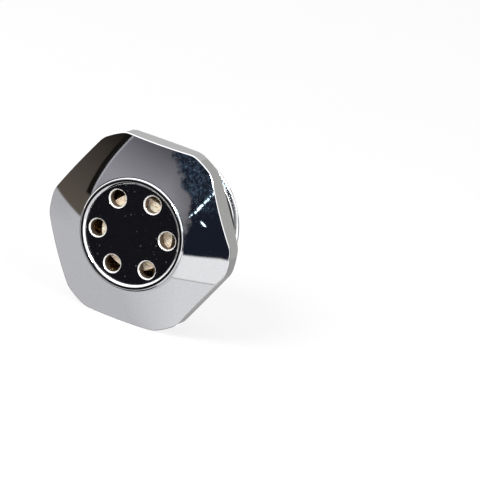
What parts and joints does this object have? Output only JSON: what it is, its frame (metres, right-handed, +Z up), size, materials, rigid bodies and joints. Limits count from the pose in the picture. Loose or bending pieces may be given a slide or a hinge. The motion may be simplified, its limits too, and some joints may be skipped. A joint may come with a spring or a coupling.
{
  "type": "automatic air vent valve",
  "caption": "Automatic air vent plug for a radiator: chromed hex head with a domed face and black vent plate, pipe thread with a ring seal, and a disc cartridge that shuts a pinhole.",
  "frame": {"origin": "on the plug's axis, in the plane of the back of the head that seals against the radiator", "axes": "+Y along the axis out of the thread end, -Y out of the domed face, +Z up, square to a flat of the hexagon"},
  "size_m": [0.0432, 0.0216, 0.04],
  "materials": {
    "chromed_brass": "polished chrome plate on brass, satin on the turned end face",
    "bright_chrome": "polished chrome plate",
    "black_face": "gloss black enamel on the front, bare plated metal in the holes",
    "seal_rubber": "satin moulded black rubber",
    "pad_rubber": "matt black rubber",
    "tan_fibre": "matt pressed cellulose fibre",
    "plain_brass": "turned brass",
    "spring_steel": "bright drawn spring steel",
    "steel_gauze": "fine woven stainless gauze"
  },
  "bodies": {
    "housing": {"plug_body": "chromed_brass", "thread_seal": "seal_rubber", "bezel_ring": "bright_chrome", "face_plate": "black_face", "fibre_disc_1": "tan_fibre", "fibre_disc_2": "tan_fibre", "fibre_disc_3": "tan_fibre", "fibre_disc_4": "tan_fibre", "fibre_disc_5": "tan_fibre", "fibre_disc_6": "tan_fibre", "fibre_disc_7": "tan_fibre", "fibre_disc_8": "tan_fibre", "return_spring": "spring_steel", "cartridge_cup": "plain_brass", "cartridge_seal": "seal_rubber", "filter_gauze": "steel_gauze"},
    "valve": {"pressure_plate": "plain_brass", "valve_stem": "plain_brass", "stem_clip": "spring_steel", "valve_head": "plain_brass", "seat_pad": "pad_rubber"}
  },
  "joints": [
    {"name": "valve_slide", "type": "slide", "parent": "housing", "child": "valve", "axis": [0, 1, 0], "range_m": [0, 0.001], "stiffness_N_per_m": 400, "springref_m": -0.002, "deforming": ["fibre_disc_1", "fibre_disc_2", "fibre_disc_3", "fibre_disc_4", "fibre_disc_5", "fibre_disc_6", "fibre_disc_7", "fibre_disc_8", "return_spring"]}
  ]
}
